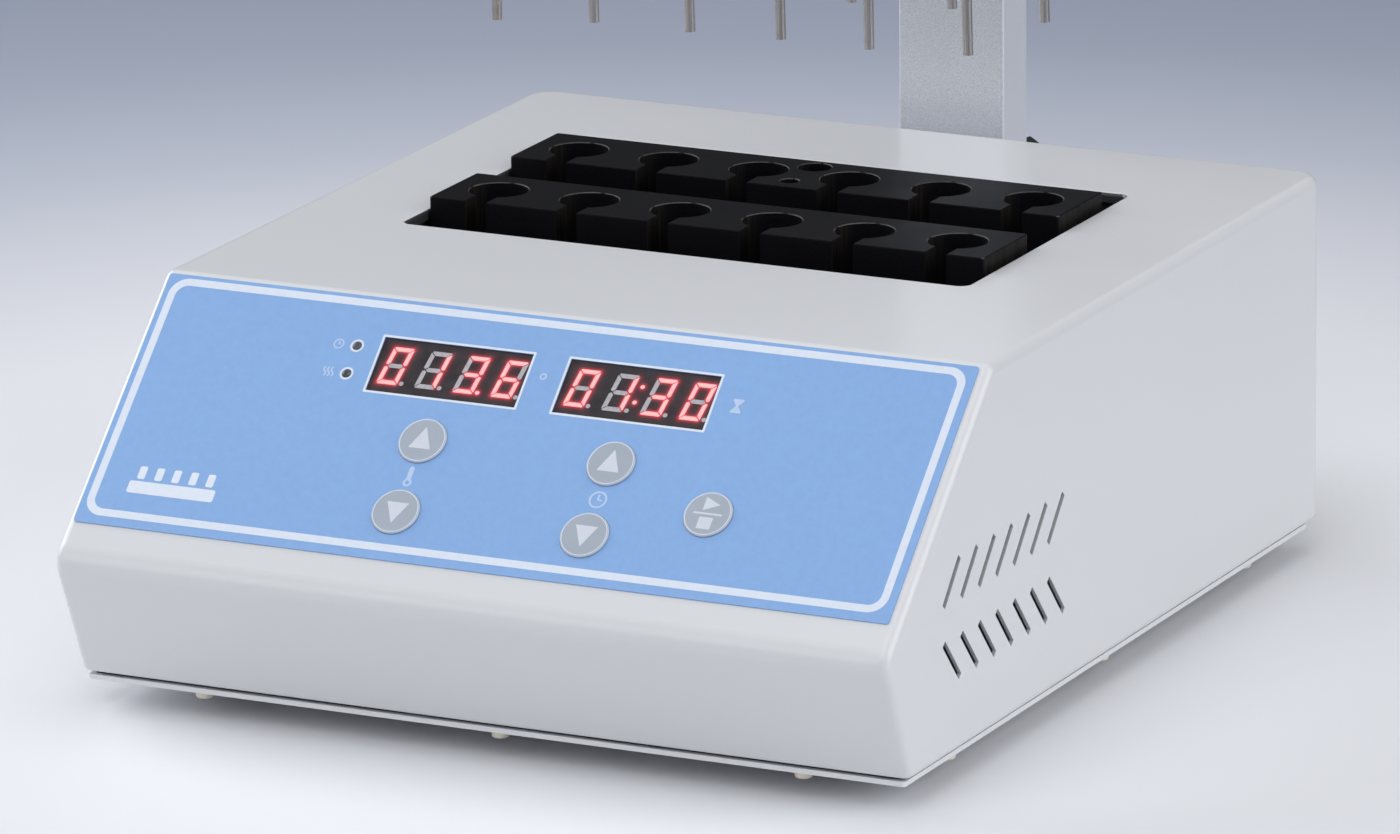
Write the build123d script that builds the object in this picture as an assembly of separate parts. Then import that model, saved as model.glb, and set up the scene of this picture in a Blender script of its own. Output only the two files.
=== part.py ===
from build123d import *
import math
import os

# Nitrogen evaporator: heated dry bath with two lift-out bars of six tube positions,
# and a gas head with twelve needles that slides on a column behind the casing.
# Millimetres. While modelling, x = 0 is the middle, y = 0 is the casing's front nose, +y runs to the
# back, and z = 0 is the casing's lower rim. placed() moves everything to the row frame at the end:
# origin at the centre of the footprint on the surface it stands on, +Z up, front facing -Y.

# ---------------------------------------------------------------- driving dimensions
CASE_W = 274.0            # casing width over the side walls
SHEET = 1.2               # casing sheet thickness
RIM_Y = 16.0              # front wall at the rim
NOSE = (-1.1, 39.05)      # sharp corner of front wall and panel slope (y, z), before its bend radius
SLOPE_0 = (0.0, 40.1)     # reference point of the panel slope (v = 0)
SLOPE_1 = (73.9, 110.4)   # top of the panel slope
TOP_Z = 110.4
BACK_Y = 324.8
R_NOSE = 8.0              # bend radii, outside
R_BEND = 3.0
R_SIDE = 3.2
R_REAR = 9.5              # upright bends at the back
R_RIM = 2.2               # bend where the rim turns in
R_LIP = 1.2               # rolled edge of the well opening
FLANGE = 12.0             # turned-in rim of the casing
FOOT_H = 8.4
PLATE_T = 1.55
JOINT_T = 1.05            # dark joint strip between base plate and rim
ZR = FOOT_H + PLATE_T + JOINT_T      # rim height above the bench

XW = -2.1                            # middle of the well, slightly left of the casing's middle
XB = -2.85                           # middle of the bars and of what heats them
WELL = (XW - 94.9, XW + 94.45, 152.8, 273.4)   # opening in the top: x0, x1, y0, y1
BAR_L = 187.0
BAR_FRONT = (169.5, 201.8)           # front bar, y
BAR_REAR = (224.7, 257.7)            # rear bar, y
BAR_TOP = 114.8
BAR_BOT = 50.8
HOLE_R = 9.25                        # tube hole
HOLE_PITCH = 31.06
HOLE_FLOOR = 56.8
SLOT_W = 7.0
HOLE_X = [XB + (i - 2.5) * HOLE_PITCH for i in range(6)]
YH1 = sum(BAR_FRONT) / 2
YH2 = sum(BAR_REAR) / 2

COL_W, COL_D = 36.4, 18.4            # column section
COL_Y = 344.0                        # its front face
COL_BOT, COL_TOP = 19.2, 440.0
BRK_TOP = 97.0                       # column bracket
KNOB_Z = 78.6                        # clamp knob axis
KNOB_R = 17.6
CAR_Z = (316.0, 360.0)               # carriage
LOCK_Z = 338.0

CH_X, CH_Y0, CH_Y1 = 104.0, 165.0, 262.0      # gas chamber
CH_Z0, CH_Z1 = 321.5, 347.5
NEEDLE_R = 1.5875
TIP_F = [168.8, 171.1, 171.2, 171.8, 171.6, 172.9]     # needle tip heights, left to right
TIP_R = [171.8, 170.9, 172.0, 171.0, 172.2, 170.9]
OFF_F = [0.2, 2.4, 3.9, 3.4, 1.8, 3.55]                # sideways lean at the tips
OFF_R = [1.6, 0.9, 2.6, 0.95, 3.9, 3.9]

BTN = {"button_temp_up": (-32.1, 53.6), "button_temp_down": (-32.1, 28.8),
       "button_time_up": (30.0, 53.6), "button_time_down": (30.0, 28.8),
       "button_start_stop": (66.1, 40.7)}
BTN_R = 7.8
WIN_TEMP = (-56.7, -7.2, 68.6, 87.4)          # display windows: u0, u1, v0, v1
WIN_TIME = (5.2, 54.6, 68.6, 87.4)
LAMP_U, LAMP_V = -64.7, (83.2, 73.4)
OVERLAY = (-134.4, 133.4, 12.3, 100.7)
OVERLAY_T = 0.4

INLET_X = 78.0
DEPTH_MIN, DEPTH_MAX = 0.4784, 389.0          # y extent of the whole, for centring
YOFF = -(DEPTH_MIN + DEPTH_MAX) / 2

# ---------------------------------------------------------------- helpers
def bx(x0, x1, y0, y1, z0, z1):
    return Pos((x0 + x1) / 2, (y0 + y1) / 2, (z0 + z1) / 2) * Box(x1 - x0, y1 - y0, z1 - z0)


def rbx(x0, x1, y0, y1, z0, z1, r):
    """box with rounded upright edges"""
    f = Pos((x0 + x1) / 2, (y0 + y1) / 2, z0) * RectangleRounded(x1 - x0, y1 - y0, r)
    return extrude(f, amount=z1 - z0, dir=(0, 0, 1))


def cz(x, y, z0, z1, r):
    return Pos(x, y, (z0 + z1) / 2) * Cylinder(r, z1 - z0)


def cy(x, z, y0, y1, r):
    return Pos(x, (y0 + y1) / 2, z) * Rot(90, 0, 0) * Cylinder(r, y1 - y0)


def cx(y, z, x0, x1, r):
    return Pos((x0 + x1) / 2, y, z) * Rot(0, 90, 0) * Cylinder(r, x1 - x0)


def hexz(x, y, z0, z1, af):
    f = Pos(x, y, z0) * RegularPolygon(af / 2, 6, major_radius=False)
    return extrude(f, amount=z1 - z0, dir=(0, 0, 1))


def prism_yz(pts, x0, x1):
    """closed polygon in (y, z), extruded along x"""
    w = Polyline(*[(x0, p[0], p[1]) for p in pts], close=True)
    return extrude(make_face(w), amount=x1 - x0, dir=(1, 0, 0))


def one(s):
    """a boolean result as a plain shape"""
    ss = s.solids()
    return ss[0] if len(ss) == 1 else Compound(children=list(ss))


def grp(shapes):
    out = []
    for s in shapes:
        out += list(s.solids())
    return Compound(children=out)


def soften(s, r, edges):
    try:
        return fillet(edges, r)
    except Exception:
        print("soften skipped", r)
        return s


dy, dz = SLOPE_1[0] - SLOPE_0[0], SLOPE_1[1] - SLOPE_0[1]
dl = math.hypot(dy, dz)
UV = (dy / dl, dz / dl)                     # up the slope (y, z)
PANEL = Plane(origin=(0, SLOPE_0[0], SLOPE_0[1]), x_dir=(1, 0, 0), z_dir=(0, -UV[1], UV[0])).location


def pl(s):
    """from panel coordinates (u across, v up the slope, w outward) to the model"""
    return PANEL * s


def offset_poly(pts, t):
    """inset a clockwise or counter-clockwise (y, z) polygon by t"""
    n = len(pts)
    area = sum(pts[i][0] * pts[(i + 1) % n][1] - pts[(i + 1) % n][0] * pts[i][1] for i in range(n)) / 2
    s = 1 if area > 0 else -1
    lines = []
    for i in range(n):
        a, b = pts[i], pts[(i + 1) % n]
        d = math.hypot(b[0] - a[0], b[1] - a[1])
        nx, nz = -(b[1] - a[1]) / d * s, (b[0] - a[0]) / d * s
        lines.append((nx, nz, nx * a[0] + nz * a[1] + t))
    out = []
    for i in range(n):
        a1, b1, c1 = lines[i - 1]
        a2, b2, c2 = lines[i]
        det = a1 * b2 - a2 * b1
        out.append(((c1 * b2 - c2 * b1) / det, (a1 * c2 - a2 * c1) / det))
    return out


nodes = {}

# ---------------------------------------------------------------- casing cover
PROFILE = [(RIM_Y, 0.0), NOSE, SLOPE_1, (BACK_Y, TOP_Z), (BACK_Y, 0.0)]


def wedge(profile, half, r_nose, r_bend, r_side, r_rear, r_rim, zlow):
    w = Polyline(*[(-half, p[0], p[1]) for p in profile], close=True)
    f = make_face(w)
    body = extrude(f, amount=2 * half, dir=(1, 0, 0))
    for q, r in ((profile[1], r_nose), (profile[2], r_bend)):
        e = [k for k in body.edges() if k.length > 2 * half - 0.5
             and abs(k.center().Y - q[0]) < 0.01 and abs(k.center().Z - q[1]) < 0.01]
        body = fillet(e, r)
    yb, zt = profile[3]
    up = [k for k in body.edges() if abs(k.center().Y - yb) < 0.01 and abs(abs(k.center().X) - half) < 0.01]
    body = fillet(up, r_rear)
    side = [k for k in body.edges() if abs(abs(k.center().X) - half) < 0.001 and k.length > 0.5
            and abs(k.center().Z - zlow) > 0.01]
    back = [k for k in body.edges() if k.center().Z > zt - 0.01 and k.center().Y > yb - r_rear
            and abs(abs(k.center().X) - half) > 0.001]
    body = fillet(side + back, r_side)
    rim = [k for k in body.edges() if k.bounding_box().max.Z < zlow + 0.01]
    return fillet(rim, r_rim)


outer = wedge(PROFILE, CASE_W / 2, R_NOSE, R_BEND, R_SIDE, R_REAR, R_RIM, 0.0)
inner_profile = offset_poly(PROFILE, SHEET)
inner = wedge(inner_profile, CASE_W / 2 - SHEET, R_NOSE - SHEET, R_BEND - SHEET, R_SIDE - SHEET, R_REAR - SHEET,
              R_RIM - SHEET, SHEET)
cover = outer - inner
# opening in the turned-in rim
fy0 = RIM_Y + FLANGE + 1.3
fy1 = BACK_Y - SHEET - FLANGE - 5.0
fx = CASE_W / 2 - SHEET - FLANGE
cover -= rbx(-fx, fx, fy0, fy1, -1, SHEET + 0.5, 4)
# well opening with its rolled-down edge
cover += rbx(WELL[0] - SHEET, WELL[1] + SHEET, WELL[2] - SHEET, WELL[3] + SHEET, TOP_Z - 3.2, TOP_Z - 0.6, 3.0 + SHEET)
cover -= rbx(WELL[0], WELL[1], WELL[2], WELL[3], TOP_Z - 5, TOP_Z + 5, 3.0)
lip = [k for k in cover.edges() if k.bounding_box().min.Z > TOP_Z - 0.001 and k.bounding_box().min.X > WELL[0] - 0.01
       and k.bounding_box().max.X < WELL[1] + 0.01 and k.bounding_box().min.Y > WELL[2] - 0.01
       and k.bounding_box().max.Y < WELL[3] + 0.01]
cover = fillet(lip, R_LIP)
# opening behind the rear panel
cover -= bx(-102, 102, BACK_Y - 4, BACK_Y + 4, 16, 86)
# vent slots, two rows of seven leaning slots in each side
SLOT_R = 1.2
for sx in (-1, 1):
    for i in range(7):
        y0 = 39.1 + 12.34 * i
        for (za, zb) in ((46.0, 58.6), (34.9, 22.2)):
            a, b = (y0, za), (y0 + 11.17, zb)
            ln = math.hypot(b[0] - a[0], b[1] - a[1])
            ang = math.degrees(math.atan2(b[1] - a[1], b[0] - a[0]))
            s = extrude(RectangleRounded(ln, 2 * SLOT_R, 0.4), amount=6, both=True)
            s = Location(Plane(origin=(sx * CASE_W / 2, (a[0] + b[0]) / 2, (a[1] + b[1]) / 2),
                               x_dir=(0, math.cos(math.radians(ang)), math.sin(math.radians(ang))),
                               z_dir=(1, 0, 0))) * s
            cover -= s
# panel openings
for w in (WIN_TEMP, WIN_TIME):
    cover -= pl(bx(w[0] - 0.7, w[1] + 0.7, w[2] - 0.4, w[3] + 0.4, -4, 4))
for (u, v) in BTN.values():
    cover -= pl(cz(u, v, -4, 4, 4.0))
for v in LAMP_V:
    cover -= pl(cz(LAMP_U, v, -4, 4, 1.65))
# screw holes: base screws, rear panel screws
BASE_SCREWS = ([(x, 22.5) for x in (-98.5, 0.5, 99.5)] + [(x, 312.5) for x in (-99.0, 0.0, 99.0)]
               + [(sx * 129.8, y) for sx in (-1, 1) for y in (56.2, 167.0, 276.0)])
for (x, y) in BASE_SCREWS:
    cover -= cz(x, y, -1, SHEET + 1, 1.5)
REAR_SCREWS = [(sx * 107.0, z) for sx in (-1, 1) for z in (13.0, 51.0, 89.0)]
for (x, z) in REAR_SCREWS:
    cover -= cy(x, z, BACK_Y - 3, BACK_Y + 1, 1.5)
nodes["casing_cover"] = one(cover)

# ---------------------------------------------------------------- base
base_z0, base_z1 = -(JOINT_T + PLATE_T), -JOINT_T
plate = rbx(-135.2, 134.5, 17.0, 316.5, base_z0, base_z1, 1.0)
for (x, y) in BASE_SCREWS:
    plate -= cz(x, y, base_z0 - 1, base_z1 + 1, 1.7)
FEET = [(sx * 100.0, y) for sx in (-1, 1) for y in (52.0, 286.0)]
for (x, y) in FEET:
    plate -= cz(x, y, base_z0 - 1, base_z1 + 1, 2.1)
SUPPORTS = [(sx * 80.0, y) for sx in (-1, 1) for y in (165.0, 261.0)]
for (x, y) in SUPPORTS:
    plate -= cz(x, y, base_z0 - 1, base_z1 + 1, 2.1)
# air slots in the base, in two fields
for sx in (-1, 1):
    for k in range(5):
        plate -= rbx(sx * 52 - 22, sx * 52 + 22, 75 + 9 * k, 78 + 9 * k, base_z0 - 1, base_z1 + 1, 1.45)
nodes["base_plate"] = one(plate)

gasket = rbx(-133.9, 133.2, 19.0, 315.8, base_z1, 0.0, 1.2) - rbx(-126, 126, 26, 308, base_z1 - 1, 1.0, 2)
for (x, y) in BASE_SCREWS:
    gasket -= cz(x, y, base_z1 - 1, 1.0, 1.7)
nodes["base_joint_strip"] = one(gasket)


def pan_screw_down(x, y, z, rh, hh, rs, ls, rf=None):
    """pan head below z, shank upward"""
    h = cz(x, y, z - hh, z, rh)
    h = fillet(h.edges().sort_by(Axis.Z)[0], rf or min(hh * 0.6, rh * 0.5))
    h -= bx(x - rh * 0.62, x + rh * 0.62, y - 0.35, y + 0.35, z - hh - 1, z - hh * 0.45)
    h -= bx(x - 0.35, x + 0.35, y - rh * 0.62, y + rh * 0.62, z - hh - 1, z - hh * 0.45)
    return h + cz(x, y, z - 0.01, z + ls, rs)


nodes["base_screws"] = grp([pan_screw_down(x, y, base_z0, 2.75, 2.8, 1.42, 4.0, 0.8) for (x, y) in BASE_SCREWS])

feet = []
for (x, y) in FEET:
    f = Pos(x, y, base_z0 - FOOT_H / 2) * Rot(180, 0, 0) * Cone(11.0, 9.6, FOOT_H)
    f = fillet(f.edges().sort_by(Axis.Z)[0], 1.0)
    f -= cz(x, y, base_z0 - FOOT_H - 1, base_z0 - 4.2, 4.3)
    f -= cz(x, y, base_z0 - FOOT_H - 1, base_z0 + 1, 2.1)
    feet.append(f)
nodes["rubber_feet"] = grp(feet)
nodes["foot_nuts"] = grp([hexz(x, y, base_z1, base_z1 + 3.2, 7.0) - cz(x, y, base_z1 - 1, base_z1 + 5, 2.03)
                          for (x, y) in FEET])

# ---------------------------------------------------------------- well: liner, insulation, heater plate
LT = 1.0
L_IN = (XW - 96.4, XW + 96.4, 151.2, 274.9)
LZ0, LZ1 = 24.0, TOP_Z - SHEET
liner = rbx(L_IN[0] - LT, L_IN[1] + LT, L_IN[2] - LT, L_IN[3] + LT, LZ0, LZ1, 4.0)
liner += rbx(XW - 105, XW + 105, 143, 283, LZ1 - LT, LZ1, 3.0)
liner -= rbx(L_IN[0], L_IN[1], L_IN[2], L_IN[3], LZ0 + LT, LZ1 + 1, 3.0)
for (x, y) in SUPPORTS:
    liner -= cz(x, y, LZ0 - 1, LZ0 + LT + 1, 2.1)
liner -= cx(165.0, 34.0, 90, 100, 4.0)        # lead-out hole
nodes["well_liner"] = one(liner)

jk = rbx(L_IN[0] - LT - 8, L_IN[1] + LT + 8, L_IN[2] - LT - 6.6, L_IN[3] + LT + 6.6, 26.0, LZ1 - LT - 0.2, 6)
jk -= rbx(L_IN[0] - LT - 0.1, L_IN[1] + LT + 0.1, L_IN[2] - LT - 0.1, L_IN[3] + LT + 0.1, 20, 120, 4.1)
jk -= cx(165.0, 34.0, 90, 110, 4.0)
nodes["insulation_jacket"] = one(jk)

CUTOUT_X, CUTOUT_Y = 60.0, 213.25
pad = rbx(XW - 95.5, XW + 95.5, 151.5, 274.5, LZ0 + LT, 38.8, 3.0)
pad -= cz(CUTOUT_X, CUTOUT_Y, LZ0, 40, 9.0)
for (x, y) in SUPPORTS:
    pad -= cz(x, y, LZ0, 31, 5.0)
pad -= cx(165.0, 34.0, 60, 100, 4.0)
nodes["insulation_pad"] = one(pad)

hp = rbx(XB - 94, XB + 94, 156, 270, 38.8, BAR_BOT, 2.0)
for y in (YH1, YH2):
    hp -= cx(y, 44.8, -100, 100, 4.8)
hp -= cy(XB, 44.8, 150, 178, 2.05)
DOWEL_DY = 10.0                      # the dowels stand behind the cartridge bores
DOWELS = [(XB + sx * 62.12, y + DOWEL_DY) for sx in (-1, 1) for y in (YH1, YH2)]
for (x, y) in DOWELS:
    hp -= cz(x, y, 43.8, 60, 2.5)
nodes["heater_plate"] = one(hp)
nodes["bar_dowels"] = grp([cz(x, y, 43.8, 56.2, 2.49) for (x, y) in DOWELS])
nodes["heater_cartridges"] = grp([cx(y, 44.8, XB - 91, XB + 91, 4.75) for y in (YH1, YH2)])
nodes["temperature_sensor"] = one(cy(XB, 44.8, 152.0, 176.0, 2.0))
tc = cz(CUTOUT_X, CUTOUT_Y, 31.8, 38.8, 7.8)
tc += bx(CUTOUT_X - 4.5, CUTOUT_X - 3.7, CUTOUT_Y - 2, CUTOUT_Y + 2, 26.5, 32)
tc += bx(CUTOUT_X + 3.7, CUTOUT_X + 4.5, CUTOUT_Y - 2, CUTOUT_Y + 2, 26.5, 32)
nodes["thermal_cutout"] = one(tc)
nodes["heater_supports"] = grp([cz(x, y, base_z1, LZ0, 5.0) - cz(x, y, base_z1 - 1, base_z1 + 9, 2.0)
                                - cz(x, y, LZ0 - 9, LZ0 + 1, 2.0) for (x, y) in SUPPORTS])
sup = [pan_screw_down(x, y, base_z0 - 4.2, 3.7, 2.4, 1.98, 11.2) for (x, y) in FEET]
for (x, y) in SUPPORTS:
    sup.append(cz(x, y, LZ0 + LT, LZ0 + LT + 2.4, 3.6) + cz(x, y, LZ0 - 8, LZ0 + LT + 0.01, 1.98))
    sup.append(pan_screw_down(x, y, base_z0, 3.7, 2.0, 1.98, 9.0))
nodes["foot_and_support_screws"] = grp(sup)

# ---------------------------------------------------------------- lift-out bars
def bar(y0, y1, rear):
    yc = (y0 + y1) / 2
    b = bx(XB - BAR_L / 2, XB + BAR_L / 2, y0, y1, BAR_BOT, BAR_TOP)
    b = fillet(b.edges().filter_by(Axis.Z), 0.8)
    for x in HOLE_X:
        b -= cz(x, yc, HOLE_FLOOR, BAR_TOP + 1, HOLE_R)
        b -= bx(x - SLOT_W / 2, x + SLOT_W / 2, y0 - 1, yc, HOLE_FLOOR, BAR_TOP + 1)
    if rear:
        b -= cz(XB - 0.7, yc + 9.3, BAR_TOP - 45, BAR_TOP + 1, 5.3)
        b -= cz(XB - 0.5, yc - 9.4, BAR_TOP - 14, BAR_TOP + 1, 3.0)
    top = [e for e in b.edges() if abs(e.bounding_box().min.Z - BAR_TOP) < 0.001]
    try:
        b = chamfer(top, 0.25)
    except Exception:
        print("bar chamfer skipped")
    for sx in (-1, 1):
        b -= cz(XB + sx * 62.12, yc + DOWEL_DY, BAR_BOT - 1, BAR_BOT + 5.8, 2.6)
    return one(b)


nodes["front_bar"] = bar(*BAR_FRONT, False)
nodes["rear_bar"] = bar(*BAR_REAR, True)

# ---------------------------------------------------------------- keypad and displays
ov = Pos((OVERLAY[0] + OVERLAY[1]) / 2, (OVERLAY[2] + OVERLAY[3]) / 2, 0) * \
    extrude(RectangleRounded(OVERLAY[1] - OVERLAY[0], OVERLAY[3] - OVERLAY[2], 1.0), amount=OVERLAY_T)
for w in (WIN_TEMP, WIN_TIME):
    ov -= bx(w[0], w[1], w[2], w[3], -1, 2)
for (u, v) in BTN.values():
    ov -= cz(u, v, -1, 2, BTN_R)
for v in LAMP_V:
    ov -= cz(LAMP_U, v, -1, 2, 1.5)
nodes["keypad_overlay"] = one(pl(ov))

BOARD_W = -13.45


def module(w):
    u0, u1, v0, v1 = w
    m = bx(u0 - 0.4, u1 + 0.4, v0 - 0.1, v1 + 0.1, -8.05, -0.05)
    uc = (u0 + u1) / 2
    for k in range(6):
        for v in (v0 + 1.8, v1 - 1.8):
            m += cz(uc + (k - 2.5) * 2.54, v, BOARD_W, -8.0, 0.3)
    return one(pl(m))


nodes["display_temperature"] = module(WIN_TEMP)
nodes["display_time"] = module(WIN_TIME)

lamps = []
for v in LAMP_V:
    l = cz(LAMP_U, v, BOARD_W, 0.75, 1.4)
    l = fillet(l.edges().sort_by(Axis.Z)[-1], 0.7)
    lamps.append(pl(l))
nodes["indicator_lamps"] = grp(lamps)

TRAVEL = 0.4
for name, (u, v) in BTN.items():
    b = cz(u, v, 0.45, 1.05, BTN_R - 0.2)
    b = fillet(b.edges().sort_by(Axis.Z)[-1], 0.35)
    b += cz(u, v, -9.0, 0.5, 2.6)
    nodes[name] = one(pl(b))

tact = []
for (u, v) in BTN.values():
    t = bx(u - 3, u + 3, v - 3, v + 3, BOARD_W, BOARD_W + 3.2)
    t += cz(u, v, BOARD_W + 3.1, -9.45, 1.75)
    tact.append(pl(t))
nodes["tact_switches"] = grp(tact)

SPACERS = [(-73.0, 90.0), (-73.0, 24.0), (76.0, 90.0), (76.0, 24.0)]
pcb = bx(-78, 81, 20, 94, BOARD_W - 1.6, BOARD_W)
for (u, v) in SPACERS:
    pcb -= cz(u, v, BOARD_W - 3, BOARD_W + 1, 1.6)
pcb += bx(-40, -18, 30, 44, BOARD_W - 5.2, BOARD_W - 1.6)     # controller chip
pcb += bx(20, 50, 82, 90, BOARD_W - 9.6, BOARD_W - 1.6)       # header for the ribbon
nodes["display_board"] = one(pl(pcb))
spacers = [pl(cz(u, v, BOARD_W, -SHEET, 3.0) - cz(u, v, BOARD_W - 1, BOARD_W + 8, 1.5)) for (u, v) in SPACERS]
nodes["board_screws"] = grp([pl(cz(u, v, BOARD_W - 3.8, BOARD_W - 1.6, 2.8) + cz(u, v, BOARD_W - 1.7, BOARD_W + 6, 1.45))
                             for (u, v) in SPACERS])

# ---------------------------------------------------------------- power electronics on the base
PB = (-64.0, 64.0, 62.0, 134.0)
PBZ = 9.0
pb_holes = [(sx * 58.0, y) for sx in (-1, 1) for y in (68.0, 128.0)]
pb = bx(PB[0], PB[1], PB[2], PB[3], PBZ, PBZ + 1.6)
for (x, y) in pb_holes:
    pb -= cz(x, y, PBZ - 1, PBZ + 3, 1.7)
pb += bx(10, 52, 116, 126, PBZ + 1.6, PBZ + 14)               # terminal block
pb += cz(34, 84, PBZ + 1.6, PBZ + 21.6, 8.0)                  # reservoir capacitor
pb += bx(-48, -20, 112, 128, PBZ + 1.6, PBZ + 17)             # relay
nodes["power_board"] = one(pb)
tr = bx(-50, -12, 70, 102, PBZ + 1.6, PBZ + 29.6)
tr = fillet(tr.edges().filter_by(Axis.Z), 1.5)
nodes["transformer"] = one(tr)
nodes["board_spacers"] = grp(spacers + [cz(x, y, base_z1, PBZ, 3.0) for (x, y) in pb_holes])
es = cz(112, 296, base_z1, 14.0, 2.0) + hexz(112, 296, 2.0, 5.2, 7.0) + hexz(112, 296, base_z1, 2.0, 8.0)
nodes["earth_stud"] = one(es)

# ---------------------------------------------------------------- rear panel, mains inlet, switch
RP0, RP1 = BACK_Y, BACK_Y + 2.0
rp = Pos(0, RP0, 51.0) * extrude(Rot(90, 0, 0) * RectangleRounded(224, 86, 3), amount=2.0, dir=(0, 1, 0))
BRK_SCREWS = [(sx * 31.5, z) for sx in (-1, 1) for z in (30.0, 80.0)]
for (x, z) in REAR_SCREWS:
    rp -= cy(x, z, RP0 - 1, RP1 + 1, 1.75)
for (x, z) in BRK_SCREWS:
    rp -= cy(x, z, RP0 - 1, RP1 + 1, 2.6)
rp -= bx(INLET_X - 13.6, INLET_X + 13.6, RP0 - 1, RP1 + 1, 26.8, 79.2)
nodes["rear_panel"] = one(rp)


def pan_screw_y(x, z, y, rh, hh, rs, ls):
    """head outside y (towards +y), shank towards -y"""
    h = cy(x, z, y, y + hh, rh)
    h = fillet(h.edges().sort_by(Axis.Y)[-1], min(hh * 0.6, rh * 0.5))
    h -= bx(x - rh * 0.62, x + rh * 0.62, y + hh * 0.45, y + hh + 1, z - 0.35, z + 0.35)
    h -= bx(x - 0.35, x + 0.35, y + hh * 0.45, y + hh + 1, z - rh * 0.62, z + rh * 0.62)
    return h + cy(x, z, y - ls, y + 0.01, rs)


nodes["rear_panel_screws"] = grp([pan_screw_y(x, z, RP1, 2.9, 2.0, 1.42, 6.0) for (x, z) in REAR_SCREWS])

# three-pole inlet with fuse drawer and rocker switch in one moulding
iy = RP1
inl = Pos(INLET_X, iy, 53.0) * extrude(Rot(90, 0, 0) * RectangleRounded(31, 63, 2.0), amount=2.6, dir=(0, 1, 0))
inl = fillet(inl.edges().group_by(Axis.Y)[-1], 0.8)
inl += bx(INLET_X - 13.3, INLET_X + 13.3, iy - 27, iy + 0.01, 27.1, 78.9)
rec = Pos(INLET_X, iy - 15.5, 38.6) * extrude(Rot(90, 0, 0) * Polygon((-11.8, 8.0), (-11.8, -4.2), (-8.0, -8.0), (8.0, -8.0),
                                                               (11.8, -4.2), (11.8, 8.0), align=None), amount=20, dir=(0, 1, 0))
inl -= rec
inl -= bx(INLET_X - 11.2, INLET_X + 11.2, iy - 21.5, iy + 4, 49.3, 56.5)
inl -= bx(INLET_X - 6.7, INLET_X + 6.7, iy - 11.5, iy + 4, 59.0, 78.0)
nodes["mains_inlet"] = one(inl)
pins = []
for (x, z) in ((-7.0, 36.6), (7.0, 36.6), (0.0, 41.6)):
    p = bx(INLET_X + x - 1.0, INLET_X + x + 1.0, iy - 15.5, iy - 1.0, z - 2.0, z + 2.0)
    p = chamfer(p.faces().sort_by(Axis.Y)[-1].edges(), 0.5)
    pins.append(p)
nodes["inlet_pins"] = grp(pins)

fd = bx(INLET_X - 11.0, INLET_X + 11.0, iy - 21.0, iy + 3.4, 49.5, 56.3)
fd -= bx(INLET_X - 10.4, INLET_X + 10.4, iy - 20.0, iy - 9.0, 50.1, 57.0)
fd -= bx(INLET_X - 3.5, INLET_X + 3.5, iy + 2.4, iy + 4, 49.0, 51.2)
nodes["fuse_drawer"] = one(fd)
fz = cx(iy - 14.5, 53.0, INLET_X - 10.0, INLET_X + 10.0, 2.5)
nodes["fuse"] = one(fz)

# rocker: shown pressed to "on"; it tips about the x axis through RK
RK = (INLET_X, iy - 0.5, 68.5)
rk = prism_yz([(-5.5, -3.2), (-5.5, 3.2), (1.2, 8.3), (3.9, 8.5), (2.6, 0.0), (3.9, -8.5), (1.2, -8.3)],
              -6.2, 6.2)
rk = fillet(rk.edges().filter_by(Axis.X), 0.5)
nodes["switch_rocker"] = one(Pos(*RK) * Rot(9, 0, 0) * rk)

# ---------------------------------------------------------------- column bracket, column
BF = RP1 + 6.0
br = Pos(0, RP1, 55.0) * extrude(Rot(90, 0, 0) * RectangleRounded(76, 72, 4), amount=6.0, dir=(0, 1, 0))
bb = bx(-24.5, 24.5, RP1, 368.5, 16.0, BRK_TOP)
bb = fillet(bb.edges().filter_by(Axis.Z).group_by(Axis.Y)[-1], 4.0)
bb = chamfer(bb.faces().sort_by(Axis.Z)[-1].edges(), 0.8)
br = br + bb
br -= bx(-COL_W / 2 - 0.15, COL_W / 2 + 0.15, COL_Y - 0.15, COL_Y + COL_D + 0.15, COL_BOT - 0.0, BRK_TOP + 1)
for (x, z) in BRK_SCREWS:
    br -= cy(x, z, RP1 - 1, RP1 + 8, 2.7)
br -= cy(0, KNOB_Z, COL_Y + COL_D, 372, 4.05)
nodes["column_bracket"] = one(br)
nodes["bracket_screws"] = grp([
    (cy(x, z, BF, BF + 5.0, 4.2) - extrude(Pos(x, BF + 6, z) * Rot(90, 0, 0) * RegularPolygon(2.0, 6), amount=4.0, dir=(0, -1, 0)))
    + cy(x, z, BACK_Y - 9, BF + 0.01, 2.45) for (x, z) in BRK_SCREWS])
bk = bx(-38, 38, BACK_Y - 4, BACK_Y, 20, 85)
for (x, z) in BRK_SCREWS:
    bk -= cy(x, z, BACK_Y - 6, BACK_Y + 2, 2.5)
nodes["backing_plate"] = one(bk)

col = bx(-COL_W / 2, COL_W / 2, COL_Y, COL_Y + COL_D, COL_BOT, COL_TOP)
col = fillet(col.edges().filter_by(Axis.Z), 0.8)
col -= bx(-COL_W / 2 + 3, COL_W / 2 - 3, COL_Y + 3, COL_Y + COL_D - 3, COL_BOT - 1, COL_TOP + 1)
nodes["column"] = one(col)
cap = bx(-COL_W / 2, COL_W / 2, COL_Y, COL_Y + COL_D, COL_TOP, COL_TOP + 3.0)
cap = fillet(cap.edges().filter_by(Axis.Z), 0.8)
cap = fillet(cap.faces().sort_by(Axis.Z)[-1].edges(), 0.7)
cap += bx(-COL_W / 2 + 3.1, COL_W / 2 - 3.1, COL_Y + 3.1, COL_Y + COL_D - 3.1, COL_TOP - 12, COL_TOP + 0.01)
nodes["column_cap"] = one(cap)


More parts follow.
